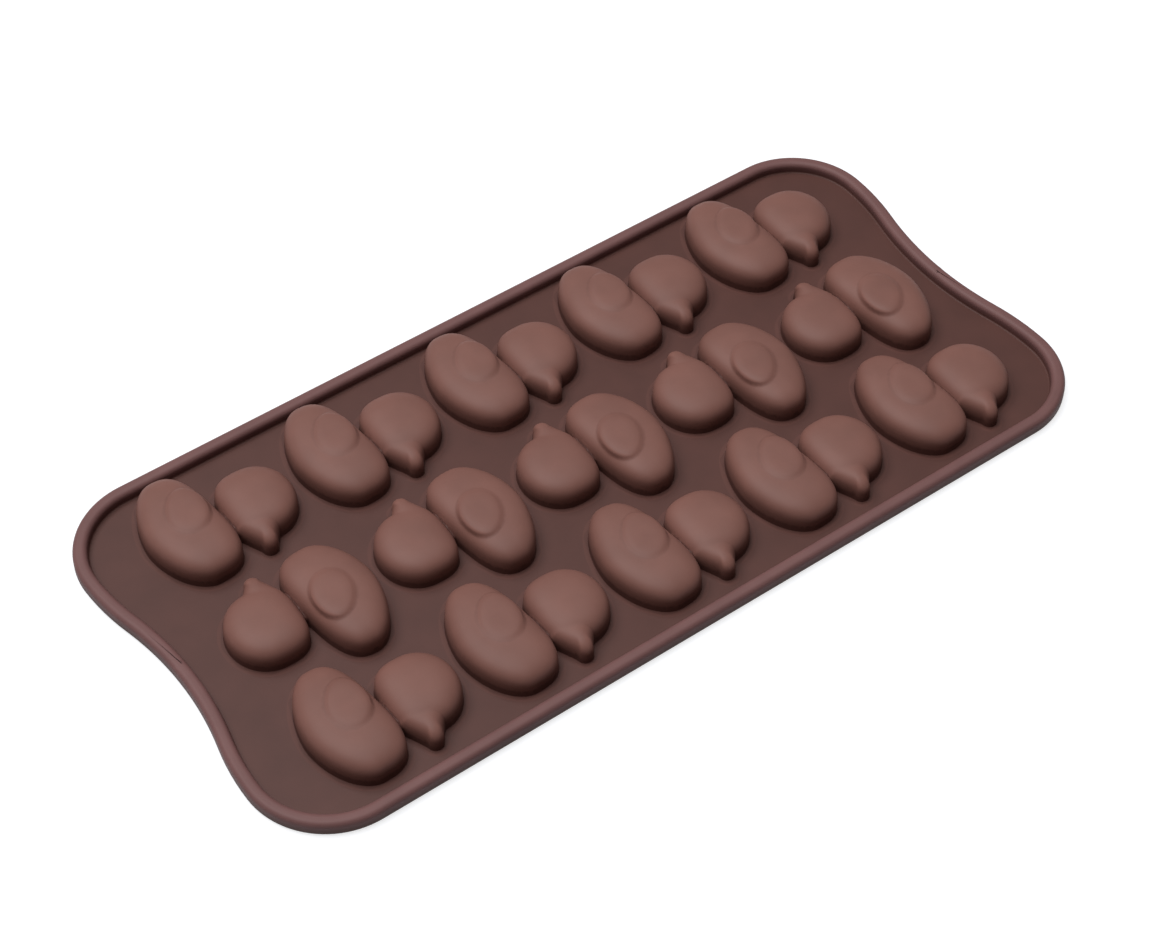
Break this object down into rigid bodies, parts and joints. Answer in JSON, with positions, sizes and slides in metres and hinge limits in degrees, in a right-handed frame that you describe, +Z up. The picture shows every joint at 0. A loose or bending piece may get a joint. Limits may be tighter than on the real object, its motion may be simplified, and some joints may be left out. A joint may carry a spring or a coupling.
{
  "type": "silicone chocolate mold",
  "caption": "Flexible chocolate mold with a bead rim, a thin web and rows of thin-walled duckling cups, lying pour side down.",
  "frame": {"origin": "under the middle of the mold, on the surface that its pour side lies on", "axes": "+X along the mold, towards the heads of the first and third rows; +Y across it, towards the first row; +Z up, from the pour side to the backs of the cups"},
  "size_m": [0.214, 0.104, 0.0089],
  "materials": {
    "silicone": "satin chocolate-brown molded silicone"
  },
  "bodies": {
    "root": {"rim_bead": "silicone", "web": "silicone", "cavity_r1_c1": "silicone", "cavity_r1_c2": "silicone", "cavity_r1_c3": "silicone", "cavity_r1_c4": "silicone", "cavity_r1_c5": "silicone", "cavity_r2_c1": "silicone", "cavity_r2_c2": "silicone", "cavity_r2_c3": "silicone", "cavity_r2_c4": "silicone", "cavity_r2_c5": "silicone", "cavity_r3_c1": "silicone", "cavity_r3_c2": "silicone", "cavity_r3_c3": "silicone", "cavity_r3_c4": "silicone", "cavity_r3_c5": "silicone"}
  },
  "joints": []
}
